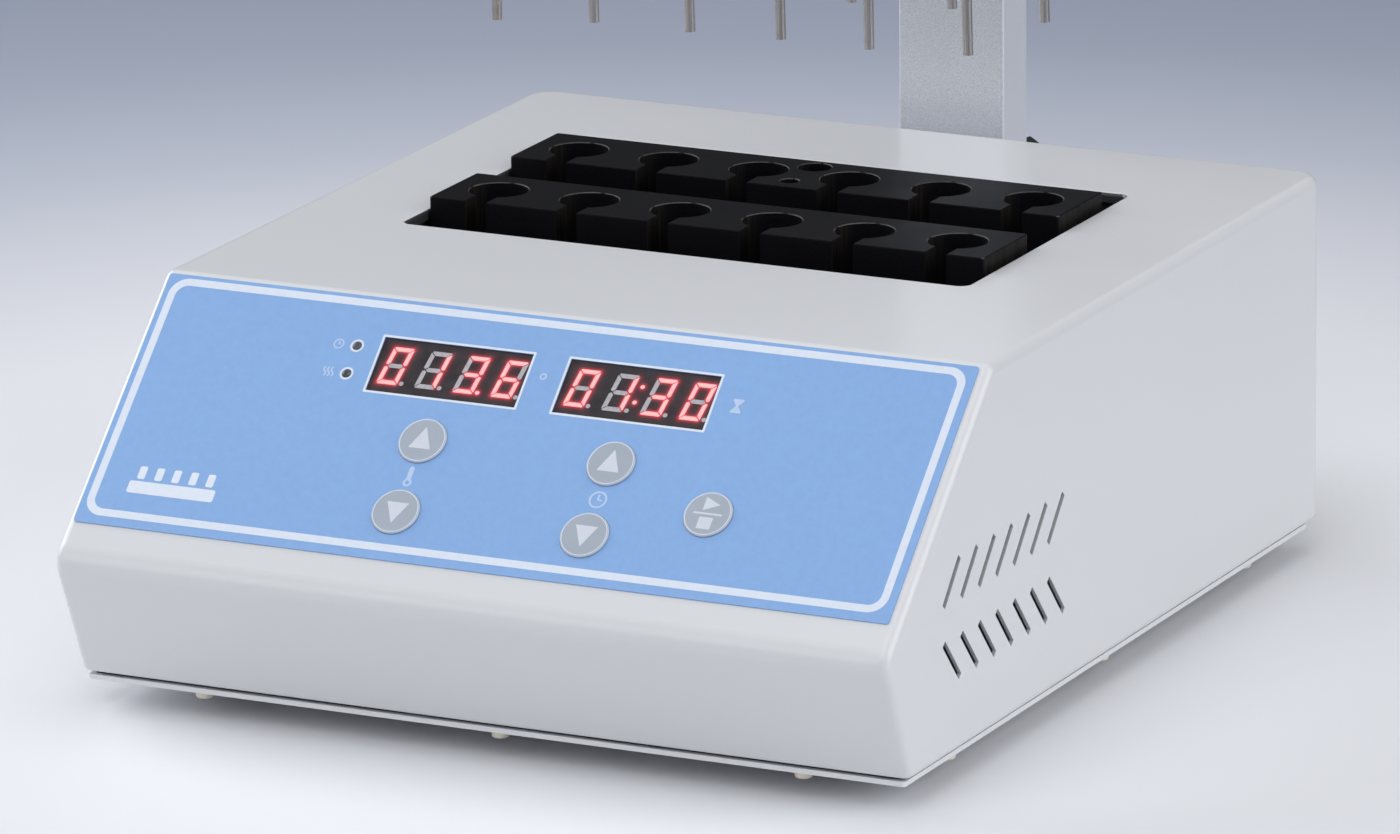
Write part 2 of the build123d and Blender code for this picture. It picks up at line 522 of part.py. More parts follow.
def knob_y(z, y_tip):
    """lobed hand knob on a screw, axis along y"""
    k = cy(0, z, 373.0, 389.0, KNOB_R)
    for i in range(8):
        a = math.radians(45 * i + 29.5)
        k -= cy((KNOB_R + 3.0) * math.cos(a), z + (KNOB_R + 3.0) * math.sin(a), 370.0, 390.0, 4.6)
    k = fillet(k.edges().group_by(Axis.Y)[-1], 1.6)
    k += cy(0, z, 369.2, 373.5, 7.5)
    k -= cy(0, z, 388.0, 390.0, 6.0)
    return one(k + cy(0, z, y_tip, 373.5, 3.95))


nodes["column_clamp_knob"] = knob_y(KNOB_Z, COL_Y + COL_D + 0.1)

# ---------------------------------------------------------------- carriage and head arm
ca = bx(-28, 28, 335, 368.8, CAR_Z[0], CAR_Z[1])
ca = fillet(ca.edges().filter_by(Axis.Z), 3.0)
ca = chamfer(ca.faces().sort_by(Axis.Z)[-1].edges() + ca.faces().sort_by(Axis.Z)[0].edges(), 0.6)
ca -= bx(-19.8, 19.8, 342.4, 364.0, CAR_Z[0] - 1, CAR_Z[1] + 1)
ca -= cy(0, LOCK_Z, 362, 370, 4.05)
ARM_S = [(sx * 21.5, z) for sx in (-1, 1) for z in (323.0, 353.0)]
for (x, z) in ARM_S:
    ca -= cy(x, z, 334, 341.4, 2.0)
nodes["carriage"] = one(ca)
gl = []
for (a, b) in ((CAR_Z[0] + 0.5, CAR_Z[0] + 12.5), (CAR_Z[1] - 12.5, CAR_Z[1] - 0.5)):
    gl.append(bx(-19.7, 19.7, 342.5, 363.9, a, b) - bx(-18.32, 18.32, 343.88, 362.52, a - 1, b + 1))
nodes["carriage_glides"] = grp(gl)
nodes["carriage_lock_knob"] = knob_y(LOCK_Z, COL_Y + COL_D + 0.1)

AF_Y = 329.0
arm = bx(-28, 28, AF_Y, 335.0, 317.0, 359.0)
arm = fillet(arm.edges().filter_by(Axis.Y), 3.0)
web = bx(-17, 17, CH_Y1 + 5.0, AF_Y + 1.0, 334.0, 343.0)
rib = prism_yz([(CH_Y1 + 5.5, 334.5), (AF_Y + 0.5, 334.5), (AF_Y + 0.5, 319.0), (AF_Y - 6, 319.0), (CH_Y1 + 12, 330.0), (CH_Y1 + 5.5, 330.0)], -4, 4)
ff = bx(-36, 36, CH_Y1, CH_Y1 + 6.0, 322.5, 346.5)
ff = fillet(ff.edges().filter_by(Axis.Y), 3.0)
arm = arm + web + rib + ff
CHS = [(sx * 28.0, 334.5) for sx in (-1, 1)] + [(sx * 12.0, 328.0) for sx in (-1, 1)]
for (x, z) in ARM_S:
    arm -= cy(x, z, 320, 337, 2.2)
for (x, z) in CHS:
    arm -= cy(x, z, CH_Y1 - 1, CH_Y1 + 7, 2.2)
nodes["head_arm"] = one(arm)


def button_y(x, z, y, sgn, rs, ls):
    """button-head screw, head outward along sgn*y from the plane y"""
    h = cy(x, z, min(y, y + sgn * 2.4), max(y, y + sgn * 2.4), 3.7)
    e = h.edges().sort_by(Axis.Y)
    h = fillet(e[-1] if sgn > 0 else e[0], 1.6)
    s = extrude(Pos(x, y + sgn * 3.0, z) * Rot(90, 0, 0) * RegularPolygon(1.45, 6), amount=2.2, dir=(0, -sgn, 0))
    h -= s
    return h + cy(x, z, min(y, y - sgn * ls), max(y, y - sgn * ls) + 0.01 * (1 if sgn > 0 else 0), rs)


nodes["arm_screws"] = grp([button_y(x, z, AF_Y, -1, 1.95, 12.0) for (x, z) in ARM_S]
                          + [button_y(x, z, CH_Y1 + 6.0, 1, 1.95, 12.5) for (x, z) in CHS])

# ---------------------------------------------------------------- gas chamber
ch = bx(-CH_X, CH_X, CH_Y0, CH_Y1, CH_Z0, CH_Z1)
ch = fillet(ch.edges().filter_by(Axis.Z), 3.0)
ch = chamfer(ch.faces().sort_by(Axis.Z)[0].edges(), 0.6)
ch -= rbx(-CH_X + 8, CH_X - 8, CH_Y0 + 8, CH_Y1 - 8, CH_Z0 + 6, CH_Z1 + 1, 3)
NEEDLES = ([(HOLE_X[i], YH1, TIP_F[i], OFF_F[i]) for i in range(6)]
           + [(HOLE_X[i], YH2, TIP_R[i], OFF_R[i]) for i in range(6)])
for (x, y, t, o) in NEEDLES:
    ch -= cz(x, y, CH_Z0 - 1, CH_Z0 + 8, 3.0)
LIDS = ([(x, y) for x in (-100.0, -50.0, 0.0, 50.0, 100.0) for y in (CH_Y0 + 4, CH_Y1 - 4)]
        + [(-100.0, 213.5), (100.0, 213.5)])
for (x, y) in LIDS:
    ch -= cz(x, y, CH_Z1 - 9, CH_Z1 + 1, 1.5)
VX, VY, VZ = 70.0, 277.0, 334.5
for (x, z) in CHS:
    ch -= cy(x, z, CH_Y1 - 6.8, CH_Y1 + 1, 2.0)
ch -= cy(VX, VZ, CH_Y1 - 12, CH_Y1 + 1, 5.0)
nodes["gas_chamber"] = one(ch)
gk = rbx(-CH_X, CH_X, CH_Y0, CH_Y1, CH_Z1, CH_Z1 + 1.0, 3) - rbx(-CH_X + 8, CH_X - 8, CH_Y0 + 8, CH_Y1 - 8, CH_Z1 - 1, CH_Z1 + 2, 3)
ld = rbx(-CH_X, CH_X, CH_Y0, CH_Y1, CH_Z1 + 1.0, CH_Z1 + 6.0, 3)
ld = chamfer(ld.faces().sort_by(Axis.Z)[-1].edges(), 0.8)
for (x, y) in LIDS:
    gk -= cz(x, y, CH_Z1 - 1, CH_Z1 + 3, 1.75)
    ld -= cz(x, y, CH_Z1, CH_Z1 + 8, 1.75)
nodes["chamber_gasket"] = one(gk)
nodes["chamber_lid"] = one(ld)


def button_up(x, y, z, rh, hh, rs, ls):
    h = cz(x, y, z, z + hh, rh)
    h = fillet(h.edges().sort_by(Axis.Z)[-1], hh * 0.65)
    h -= extrude(Pos(x, y, z + hh + 1) * RegularPolygon(rh * 0.42, 6), amount=1 + hh * 0.6, dir=(0, 0, -1))
    return h + cz(x, y, z - ls, z + 0.01, rs)


nodes["lid_screws"] = grp([button_up(x, y, CH_Z1 + 6.0, 2.9, 1.9, 1.42, 13.0) for (x, y) in LIDS])

fit = []
ndl = []
for (x, y, t, o) in NEEDLES:
    f = hexz(x, y, CH_Z0 - 7.0, CH_Z0, 9.0)
    f = f & cz(x, y, CH_Z0 - 8, CH_Z0 + 1, 5.0)
    f += cz(x, y, CH_Z0 - 9.5, CH_Z0 - 7.0, 3.2)
    f += cz(x, y, CH_Z0 - 0.01, CH_Z0 + 7.5, 2.95)
    f -= cz(x, y, CH_Z0 - 12, CH_Z0 + 9, 1.95)
    fit.append(f)
    zp = CH_Z0 - 3.0
    top = zp + 12.0
    lean = -math.degrees(math.atan2(o, zp - t))
    n = Cylinder(NEEDLE_R, top - t) - Cylinder(NEEDLE_R - 0.45, top - t + 2)
    n = Pos(x, y, zp) * Rot(0, lean, 0) * Pos(0, 0, (top + t) / 2 - zp) * n
    ndl.append(n)
nodes["needle_fittings"] = grp(fit)
nodes["needles"] = grp(ndl)

# gas valve and hose stub on the back of the chamber
vb = bx(VX - 9, VX + 9, CH_Y1 + 2.0, CH_Y1 + 28.0, VZ - 9, VZ + 9)
vb = chamfer(vb.edges(), 0.8)
vb += cy(VX, VZ, CH_Y1 - 6.0, CH_Y1 + 2.5, 4.95)
vb += cy(VX, VZ, CH_Y1, CH_Y1 + 2.5, 8.0)
vb += cz(VX, VY, VZ + 8.5, VZ + 14.5, 6.0)
stub = cy(VX, VZ, CH_Y1 + 27.5, CH_Y1 + 46.0, 4.0)
stub = chamfer(stub.edges().sort_by(Axis.Y)[-1], 0.5)
vb += stub
vb += cy(VX, VZ, CH_Y1 + 27.5, CH_Y1 + 30.0, 6.0)
vb -= cy(VX, VZ, CH_Y1 - 8.0, CH_Y1 + 50.0, 2.4)
vb -= cz(VX, VY, VZ + 2.0, VZ + 16.0, 2.5)
nodes["gas_valve_body"] = one(vb)
vk = cz(VX, VY, VZ + 15.0, VZ + 27.0, 10.0)
for i in range(12):
    a = math.radians(30 * i)
    vk -= cz(VX + 11.2 * math.cos(a), VY + 11.2 * math.sin(a), VZ + 14.0, VZ + 28.0, 2.2)
vk = fillet(vk.edges().group_by(Axis.Z)[-1], 1.0)
vk += cz(VX, VY, VZ + 3.5, VZ + 15.5, 2.45)
nodes["gas_valve_knob"] = one(vk)

# ---------------------------------------------------------------- export
def placed(s):
    return s.moved(Location((0, YOFF, ZR)))


if __name__ == "__main__":
    os.makedirs("parts", exist_ok=True)
    lo, hi = [1e9] * 3, [-1e9] * 3
    for name, shape in nodes.items():
        p = placed(shape)
        b = p.bounding_box()
        for i, (a, c) in enumerate(((b.min.X, b.max.X), (b.min.Y, b.max.Y), (b.min.Z, b.max.Z))):
            lo[i], hi[i] = min(lo[i], a), max(hi[i], c)
        export_step(p, os.path.join("parts", name + ".step"))
    print("nodes", len(nodes), "low", [round(v, 3) for v in lo], "high", [round(v, 3) for v in hi])
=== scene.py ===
import bpy
import math
import random
from mathutils import Matrix, Vector


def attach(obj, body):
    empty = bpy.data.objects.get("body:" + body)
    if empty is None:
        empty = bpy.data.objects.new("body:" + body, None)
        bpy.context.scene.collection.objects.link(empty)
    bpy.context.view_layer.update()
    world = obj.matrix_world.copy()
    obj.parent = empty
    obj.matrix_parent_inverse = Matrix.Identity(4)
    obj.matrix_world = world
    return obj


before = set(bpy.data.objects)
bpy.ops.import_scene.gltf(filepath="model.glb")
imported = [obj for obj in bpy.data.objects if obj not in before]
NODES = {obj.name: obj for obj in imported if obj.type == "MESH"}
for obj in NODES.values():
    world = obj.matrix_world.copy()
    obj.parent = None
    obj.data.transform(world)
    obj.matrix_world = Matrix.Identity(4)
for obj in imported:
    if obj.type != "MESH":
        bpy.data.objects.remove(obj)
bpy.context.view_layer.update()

# ---------------------------------------------------------------- shared numbers, as in the CAD, in millimetres
YOFF = -(0.4784 + 389.0) / 2
ZR = 11.0
SLOPE_0 = (0.0, 40.1)
SLOPE_1 = (73.9, 110.4)
_dy, _dz = SLOPE_1[0] - SLOPE_0[0], SLOPE_1[1] - SLOPE_0[1]
_dl = math.hypot(_dy, _dz)
UV = (_dy / _dl, _dz / _dl)
KEYS = {"temp_up": (-32.1, 53.6), "temp_down": (-32.1, 28.8), "time_up": (30.0, 53.6),
        "time_down": (30.0, 28.8), "start_stop": (66.1, 40.7)}
WIN = {"temp": (-56.7, -7.2, 68.6, 87.4), "time": (5.2, 54.6, 68.6, 87.4)}
LAMP_U, LAMP_V = -64.7, (83.2, 73.4)
OVERLAY_T = 0.4
KEY_TOP = 1.05

# local panel axes (u across, v up the slope, w out of it) to the row frame, in metres
PANEL = Matrix(((0.001, 0, 0, 0),
                (0, UV[0] / 1000, -UV[1] / 1000, (SLOPE_0[0] + YOFF) / 1000),
                (0, UV[1] / 1000, UV[0] / 1000, (SLOPE_0[1] + ZR) / 1000),
                (0, 0, 0, 1)))


def row(x, y, z):
    """model millimetres to row metres"""
    return Vector((x / 1000, (y + YOFF) / 1000, (z + ZR) / 1000))


# ---------------------------------------------------------------- camera
cam_data = bpy.data.cameras.new("camera")
cam = bpy.data.objects.new("camera", cam_data)
bpy.context.scene.collection.objects.link(cam)
R = Vector((0.90021, 0.43534, -0.00947))
U = Vector((-0.10757, 0.24341, 0.96394))
F = Vector((-0.42195, 0.86674, -0.26595))
loc = row(1467.66, -2854.67, 982.70)
B = -F
cam.matrix_world = Matrix(((R.x, U.x, B.x, loc.x), (R.y, U.y, B.y, loc.y), (R.z, U.z, B.z, loc.z), (0, 0, 0, 1)))
cam_data.sensor_fit = "HORIZONTAL"
cam_data.sensor_width = 36.0
cam_data.lens = 11432.855 * 36.0 / 1400.0
cam_data.clip_start = 0.05
cam_data.clip_end = 50.0
bpy.context.scene.camera = cam


# ---------------------------------------------------------------- materials
def srgb(r, g, b, a=1.0):
    def f(c):
        c = c / 255.0
        return c / 12.92 if c <= 0.04045 else ((c + 0.055) / 1.055) ** 2.4
    return (f(r), f(g), f(b), a)


class Mat:
    def __init__(self, name):
        self.m = bpy.data.materials.new(name)
        self.m.use_nodes = True
        self.t = self.m.node_tree
        self.b = self.t.nodes["Principled BSDF"]
        self.co = self.t.nodes.new("ShaderNodeTexCoord")

    def node(self, kind, **kw):
        n = self.t.nodes.new("ShaderNode" + kind)
        for k, v in kw.items():
            setattr(n, k, v)
        return n

    def link(self, a, b):
        self.t.links.new(a, b)

    def set(self, **kw):
        names = {"base": "Base Color", "rough": "Roughness", "metal": "Metallic", "coat": "Coat Weight",
                 "coat_rough": "Coat Roughness", "ior": "IOR", "spec": "Specular IOR Level", "sheen": "Sheen Weight",
                 "trans": "Transmission Weight", "aniso": "Anisotropic", "alpha": "Alpha",
                 "emit": "Emission Color", "emit_s": "Emission Strength"}
        for k, v in kw.items():
            self.b.inputs[names[k]].default_value = v
        return self

    def mapped(self, scale):
        mp = self.node("Mapping")
        mp.inputs["Scale"].default_value = scale
        self.link(self.co.outputs["Object"], mp.inputs["Vector"])
        return mp.outputs["Vector"]

    def noise(self, scale, detail=3.0, rough=0.5, vec=None, dist=0.0):
        n = self.node("TexNoise")
        n.inputs["Scale"].default_value = scale
        n.inputs["Detail"].default_value = detail
        n.inputs["Roughness"].default_value = rough
        n.inputs["Distortion"].default_value = dist
        self.link(vec if vec is not None else self.co.outputs["Object"], n.inputs["Vector"])
        return n.outputs["Fac"]

    def ramp(self, fac, stops):
        r = self.node("ValToRGB")
        e = r.color_ramp.elements
        e[0].position, e[0].color = stops[0]
        e[1].position, e[1].color = stops[-1]
        for p, c in stops[1:-1]:
            k = e.new(p)
            k.color = c
        self.link(fac, r.inputs["Fac"])
        return r.outputs["Color"]

    def mrange(self, fac, a, b, c, d):
        r = self.node("MapRange")
        for k, v in zip(("From Min", "From Max", "To Min", "To Max"), (a, b, c, d)):
            r.inputs[k].default_value = v
        self.link(fac, r.inputs["Value"])
        return r.outputs["Result"]

    def mix(self, fac, a, b, blend="MIX"):
        m = self.node("Mix", data_type="RGBA", blend_type=blend)
        for sock, v in ((m.inputs["Factor"], fac), (m.inputs["A"], a), (m.inputs["B"], b)):
            if isinstance(v, bpy.types.NodeSocket):
                self.link(v, sock)
            else:
                sock.default_value = v
        return m.outputs["Result"]

    def mth(self, op, a, b=0.0, clamp=False):
        m = self.node("Math", operation=op, use_clamp=clamp)
        for i, v in enumerate((a, b)):
            if isinstance(v, bpy.types.NodeSocket):
                self.link(v, m.inputs[i])
            else:
                m.inputs[i].default_value = v
        return m.outputs["Value"]

    def bump(self, height, strength, distance, prev=None):
        b = self.node("Bump")
        b.inputs["Strength"].default_value = strength
        b.inputs["Distance"].default_value = distance
        self.link(height, b.inputs["Height"])
        if prev is not None:
            self.link(prev, b.inputs["Normal"])
        return b.outputs["Normal"]

    def out(self, base=None, rough=None, normal=None, emit_s=None, metal=None):
        for sock, v in (("Base Color", base), ("Roughness", rough), ("Normal", normal), ("Emission Strength", emit_s),
                        ("Metallic", metal)):
            if v is not None:
                self.link(v, self.b.inputs[sock])
        return self.m


def paint(name, c, rough=0.3, lo=0.94, coat=0.0, grain=1.0, speck=0.0, painted_shade_point=None):
    """stoved powder paint: fine orange peel, faint cloudiness; the optional last argument is a point inside a shell,
    and the shell's inner faces are then painted dark grey as painted shade"""
    k = Mat(name)
    k.set(rough=rough, coat=coat, coat_rough=0.12, ior=1.5)
    cloud = k.noise(5.0, 2.0, 0.5)
    fine = k.noise(900.0, 2.0, 0.5)
    dark = (c[0] * lo, c[1] * lo, c[2] * lo, 1)
    base = k.ramp(cloud, [(0.30, dark), (0.70, c)])
    fleck = k.ramp(fine, [(0.30, (0.93, 0.93, 0.93, 1)), (0.62, (1, 1, 1, 1))])
    base = k.mix(speck, base, fleck, "MULTIPLY")
    # painted shade: faces turned back towards the given inside point get dark grey, standing in for the shade inside
    # the shell
    if painted_shade_point is not None:
        geo = k.node("NewGeometry")
        away = k.node("VectorMath", operation="SUBTRACT")
        away.inputs[1].default_value = painted_shade_point
        k.link(k.co.outputs["Object"], away.inputs[0])
        dot = k.node("VectorMath", operation="DOT_PRODUCT")
        k.link(away.outputs["Vector"], dot.inputs[0])
        k.link(geo.outputs["Normal"], dot.inputs[1])
        inner = k.mrange(dot.outputs["Value"], -0.012, -0.008, 1.0, 0.0)
        base = k.mix(inner, base, srgb(62, 62, 65))
    rr = k.mrange(k.noise(18.0, 2.0, 0.5), 0.3, 0.7, rough - 0.006, rough + 0.008)
    peel = k.noise(260.0, 1.0, 0.4)
    n = k.bump(peel, 0.012 * grain, 0.0003)
    return k.out(base, rr, n)


def plastic(name, c, rough=0.45, grain=600.0, depth=0.12, var=0.85, coat=0.0, edge=None):
    """moulded plastic; edge is a lighter colour painted on what turns away from the panel face: a painted highlight on
    a cap's rim that also hides the shade on its side wall
    """
    k = Mat(name)
    k.set(rough=rough, coat=coat, coat_rough=0.15)
    cloud = k.noise(35.0, 3.0, 0.5)
    base = k.ramp(cloud, [(0.3, (c[0] * var, c[1] * var, c[2] * var, 1)), (0.7, c)])
    # painted highlight: faces turned away from the panel face take the lighter edge colour
    if edge is not None:
        geo = k.node("NewGeometry")
        dot = k.node("VectorMath", operation="DOT_PRODUCT")
        k.link(geo.outputs["True Normal"], dot.inputs[0])
        dot.inputs[1].default_value = (0, -UV[1], UV[0])
        base = k.mix(k.mrange(dot.outputs["Value"], 0.60, 0.95, 1.0, 0.0), base, edge)
    rr = k.mrange(k.noise(120.0, 3.0, 0.6), 0.3, 0.7, rough - 0.05, rough + 0.07)
    n = k.bump(k.noise(grain, 3.0, 0.55), depth, 0.0003)
    return k.out(base, rr, n)


def metal(name, c, rough=0.3, brush=None, brush_depth=0.08, var=0.88, grain=None, metallic=1.0):
    """bare or anodised metal; brush is the texture scale per axis"""
    k = Mat(name)
    k.set(metal=metallic, rough=rough)
    vec = k.mapped(brush) if brush else None
    streak = k.noise(1.0 if brush else 300.0, 4.0, 0.6, vec)
    cloud = k.noise(22.0, 3.0, 0.5)
    base = k.ramp(streak, [(0.25, (c[0] * var, c[1] * var, c[2] * var, 1)), (0.75, c)])
    base = k.mix(0.25, base, k.ramp(cloud, [(0.3, (0.82, 0.82, 0.84, 1)), (0.7, (1, 1, 1, 1))]), "MULTIPLY")
    rr = k.mrange(streak, 0.25, 0.75, rough - 0.05, rough + 0.08)
    n = k.bump(streak, brush_depth, 0.0003)
    if grain:
        n = k.bump(k.noise(grain, 3.0, 0.6), brush_depth, 0.0003, n)
    return k.out(base, rr, n)


M = {}
# the casing's inside faces are painted dark grey as painted shade of its interior, seen through the vent slots
M["case"] = paint("case_paint", srgb(218, 219, 222), 0.33, 0.985, coat=0.3, painted_shade_point=tuple(row(0, 190, 60)))
M["base"] = paint("base_paint", srgb(228, 229, 232), 0.36, 0.97)
# the well liner is painted near-black: painted shade of the narrow well under the casing's rolled edge
M["liner"] = paint("liner_painted_shade", srgb(34, 34, 37), 0.42)
M["rubber"] = plastic("black_rubber", srgb(26, 26, 27), 0.75, 500.0, 0.25)
M["black"] = plastic("black_moulded", srgb(22, 22, 24), 0.42, 700.0, 0.15)
M["grey"] = plastic("grey_moulded", srgb(120, 122, 126), 0.5)
M["red"] = plastic("red_moulded", srgb(170, 20, 18), 0.3, 500.0, 0.05)
M["silicone"] = plastic("white_silicone", srgb(225, 225, 220), 0.6)
# keys: their side walls take a lighter colour, a painted highlight over their shade
M["key"] = plastic("key_grey", srgb(168, 177, 190), 0.38, 1500.0, 0.10, 0.94, edge=srgb(205, 217, 237))
M["board"] = plastic("circuit_board", srgb(22, 92, 50), 0.4, 300.0, 0.1)
M["blue_block"] = plastic("potted_block", srgb(30, 50, 110), 0.45)
M["fibre"] = plastic("ceramic_fibre", srgb(228, 222, 205), 0.9, 180.0, 0.6)
M["ceramic"] = plastic("glazed_ceramic", srgb(230, 228, 220), 0.2, 60.0, 0.02)
M["cream"] = metal("cream_zinc", srgb(236, 229, 210), 0.36, None, 0.05, 0.94, 900.0, 0.35)
M["plated"] = metal("plated_steel", srgb(196, 194, 190), 0.34, None, 0.04, 0.9, 700.0)
M["brass"] = metal("machined_brass", srgb(205, 170, 98), 0.34, (60, 900, 60), 0.05)
M["machined"] = metal("machined_aluminium", srgb(204, 206, 210), 0.34, (25, 1400, 1400), 0.07, 0.92, 900.0)
M["heater"] = metal("heater_aluminium", srgb(120, 120, 122), 0.45, (25, 900, 900), 0.08, 0.8)


def blasted(name, c, front):
    """sand-blasted, clear anodised section: a sparkling fine grain on its broad faces, smoother edges"""
    k = Mat(name)
    k.set(metal=0.4)
    g1 = k.noise(2600.0, 3.0, 0.7)
    g2 = k.noise(6200.0, 2.0, 0.6)
    geo = k.node("NewGeometry")
    sep = k.node("SeparateXYZ")
    k.link(geo.outputs["Normal"], sep.inputs["Vector"])
    broad = k.mth("ABSOLUTE", sep.outputs["Y"])
    both = k.mth("MULTIPLY", k.mth("ADD", g1, g2), 0.5)
    light = (min(1, c[0] * 1.35), min(1, c[1] * 1.35), min(1, c[2] * 1.35), 1)
    grain = k.ramp(both, [(0.38, (c[0] * 0.72, c[1] * 0.72, c[2] * 0.74, 1)), (0.5, c), (0.62, light)])
    plain = k.ramp(g1, [(0.3, (c[0] * 0.90, c[1] * 0.88, c[2] * 0.85, 1)), (0.7, (c[0] * 0.96, c[1] * 0.94, c[2] * 0.91, 1))])
    base = k.mix(broad, plain, grain)
    rr = k.mrange(broad, 0.0, 1.0, 0.30, 0.38)
    n = k.bump(both, 0.22, 0.0003)
    return k.out(base, rr, n)


M["column"] = blasted("blasted_aluminium", srgb(228, 232, 241), 1)


def anodised(name):
    """black hard anodising over a milled surface: fine even grain, its chamfers lighter as a painted highlight"""
    k = Mat(name)
    k.set(metal=0.0, rough=0.40, spec=0.055)
    g = k.noise(1900.0, 3.0, 0.6)
    cloud = k.noise(30.0, 3.0, 0.6)
    highlight_breakup = k.noise(140.0, 3.0, 0.7)
    geo = k.node("NewGeometry")
    sep = k.node("SeparateXYZ")
    k.link(geo.outputs["True Normal"], sep.inputs["Vector"])
    nx, ny, nz = (k.mth("ABSOLUTE", sep.outputs[a]) for a in "XYZ")
    # painted highlight on the chamfers at hole and slot rims, broken up by noise
    chamfer_highlight = k.mth("MULTIPLY", k.mrange(nz, 0.45, 0.55, 0.0, 1.0), k.mrange(nz, 0.84, 0.94, 1.0, 0.0))
    chamfer_highlight = k.mth("MULTIPLY", chamfer_highlight, k.mrange(k.mth("MULTIPLY", nx, ny), 0.02, 0.06, 0.0, 1.0))
    chamfer_highlight = k.mth("MULTIPLY", chamfer_highlight, k.mrange(highlight_breakup, 0.35, 0.65, 0.55, 1.0))
    flank = k.mrange(nx, 0.75, 0.98, 0.0, 1.0)
    streaks_and_sheen = k.noise(1.0, 3.0, 0.6, k.mapped((900, 900, 25)))
    base = k.ramp(g, [(0.35, (0.0030, 0.0030, 0.0042, 1)), (0.65, (0.0072, 0.0072, 0.0094, 1))])
    base = k.mix(k.mrange(cloud, 0.45, 0.75, 0.0, 0.35), base, (0.0085, 0.0086, 0.0108, 1))
    # faces turned along x (slot walls and end faces): a brownish tone with vertical light streaks, partly the bores'
    # own tone and partly painted sheen
    brown_tone_and_sheen = k.ramp(streaks_and_sheen, [(0.42, (0.0085, 0.0076, 0.0078, 1)), (0.60, (0.017, 0.015, 0.013, 1)), (0.74, (0.034, 0.029, 0.024, 1))])
    base = k.mix(flank, base, brown_tone_and_sheen)
    # the chamfers take the painted highlight colour
    base = k.mix(chamfer_highlight, base, (0.11, 0.105, 0.098, 1))
    rr = k.mrange(cloud, 0.3, 0.7, 0.37, 0.45)
    n = k.bump(g, 0.12, 0.0003)
    return k.out(base, rr, n)


M["anodised"] = anodised("black_anodised")


def needle_mat(name):
    """drawn steel tube with length-wise lines and a warm handling tint"""
    k = Mat(name)
    k.set(metal=1.0, rough=0.33)
    lines = k.noise(1.0, 4.0, 0.6, k.mapped((2400, 2400, 30)))
    spots = k.noise(260.0, 4.0, 0.65)
    base = k.ramp(lines, [(0.3, srgb(176, 167, 156)), (0.7, srgb(206, 198, 188))])
    base = k.mix(k.mrange(spots, 0.55, 0.75, 0.0, 0.4), base, srgb(146, 130, 112))
    rr = k.mrange(spots, 0.3, 0.7, 0.20, 0.26)
    n = k.bump(lines, 0.10, 0.0002)
    return k.out(base, rr, n)


M["needle"] = needle_mat("drawn_needle")


def film(name, c, rough, fleck=0.05, grain=2600.0):
    """printed polycarbonate film with a fine matt tooth"""
    k = Mat(name)
    k.set(rough=rough, coat=0.0, ior=1.46)
    tooth = k.noise(grain, 2.0, 0.6)
    mott = k.noise(420.0, 3.0, 0.65)
    cloud = k.noise(9.0, 2.0, 0.5)
    a = tuple(v * (1 - fleck) for v in c[:3]) + (1,)
    b = tuple(min(1, v * (1 + fleck)) for v in c[:3]) + (1,)
    base = k.ramp(mott, [(0.32, a), (0.68, b)])
    base = k.mix(0.5, base, k.ramp(cloud, [(0.3, (0.95, 0.96, 0.97, 1)), (0.7, (1, 1, 1, 1))]), "MULTIPLY")
    rr = k.mrange(mott, 0.3, 0.7, rough - 0.04, rough + 0.05)
    n = k.bump(tooth, 0.22, 0.0002)
    return k.out(base, rr, n)


M["film"] = film("blue_film", srgb(134, 173, 224), 0.44, 0.03)
M["print"] = film("pale_print", srgb(221, 229, 242), 0.46, 0.02)
M["print_white"] = film("white_print", srgb(224, 231, 243), 0.46, 0.02)
M["print_faint"] = film("faint_print", srgb(186, 206, 236), 0.46, 0.02)
M["tri"] = film("key_print", srgb(211, 216, 226), 0.4, 0.015)


def lens(name):
    k = Mat(name)
    k.set(rough=0.12, coat=0.6, coat_rough=0.05)
    base = k.ramp(k.noise(700.0, 3.0, 0.6), [(0.3, srgb(44, 46, 50)), (0.7, srgb(92, 96, 102))])
    return k.out(base, None, k.bump(k.noise(500.0), 0.04, 0.0002))


M["lens"] = lens("lamp_lens")


def face_mat(name):
    """display face: dark filter with a red halo that fades away from the lit segments"""
    k = Mat(name)
    k.set(coat=0.35, coat_rough=0.08, emit=(1.0, 0.05, 0.09, 1))
    dust = k.noise(1500.0, 3.0, 0.7)
    base = k.ramp(dust, [(0.35, srgb(30, 22, 28)), (0.66, srgb(40, 32, 38)), (0.74, srgb(70, 62, 68))])
    rr = k.mrange(k.noise(300.0), 0.3, 0.7, 0.28, 0.42)
    at = k.node("Attribute", attribute_name="glow")
    e = k.mth("MULTIPLY", at.outputs["Fac"], 0.55)
    return k.out(base, rr, None, e)


M["face"] = face_mat("display_face")


def lit(name):
    """a lit segment: hot pale core, redder towards its edges"""
    k = Mat(name)
    k.set(rough=0.35, base=(0.30, 0.06, 0.06, 1), emit=(1.0, 0.30, 0.29, 1))
    at = k.node("Attribute", attribute_name="core")
    col = k.ramp(at.outputs["Fac"], [(0.0, (0.92, 0.16, 0.19, 1)), (0.45, (0.96, 0.42, 0.43, 1)), (1.0, (1.0, 0.56, 0.56, 1))])
    k.link(col, k.b.inputs["Emission Color"])
    s = k.mrange(k.noise(900.0, 2.0), 0.3, 0.7, 0.86, 1.0)
    return k.out(None, None, None, s)


M["lit"] = lit("segment_lit")


def unlit(name):
    k = Mat(name)
    k.set(rough=0.4)
    base = k.ramp(k.noise(800.0, 3.0, 0.6), [(0.3, srgb(168, 163, 169)), (0.7, srgb(188, 183, 189))])
    return k.out(base, None, k.bump(k.noise(1200.0), 0.08, 0.0002))


M["unlit"] = unlit("segment_off")

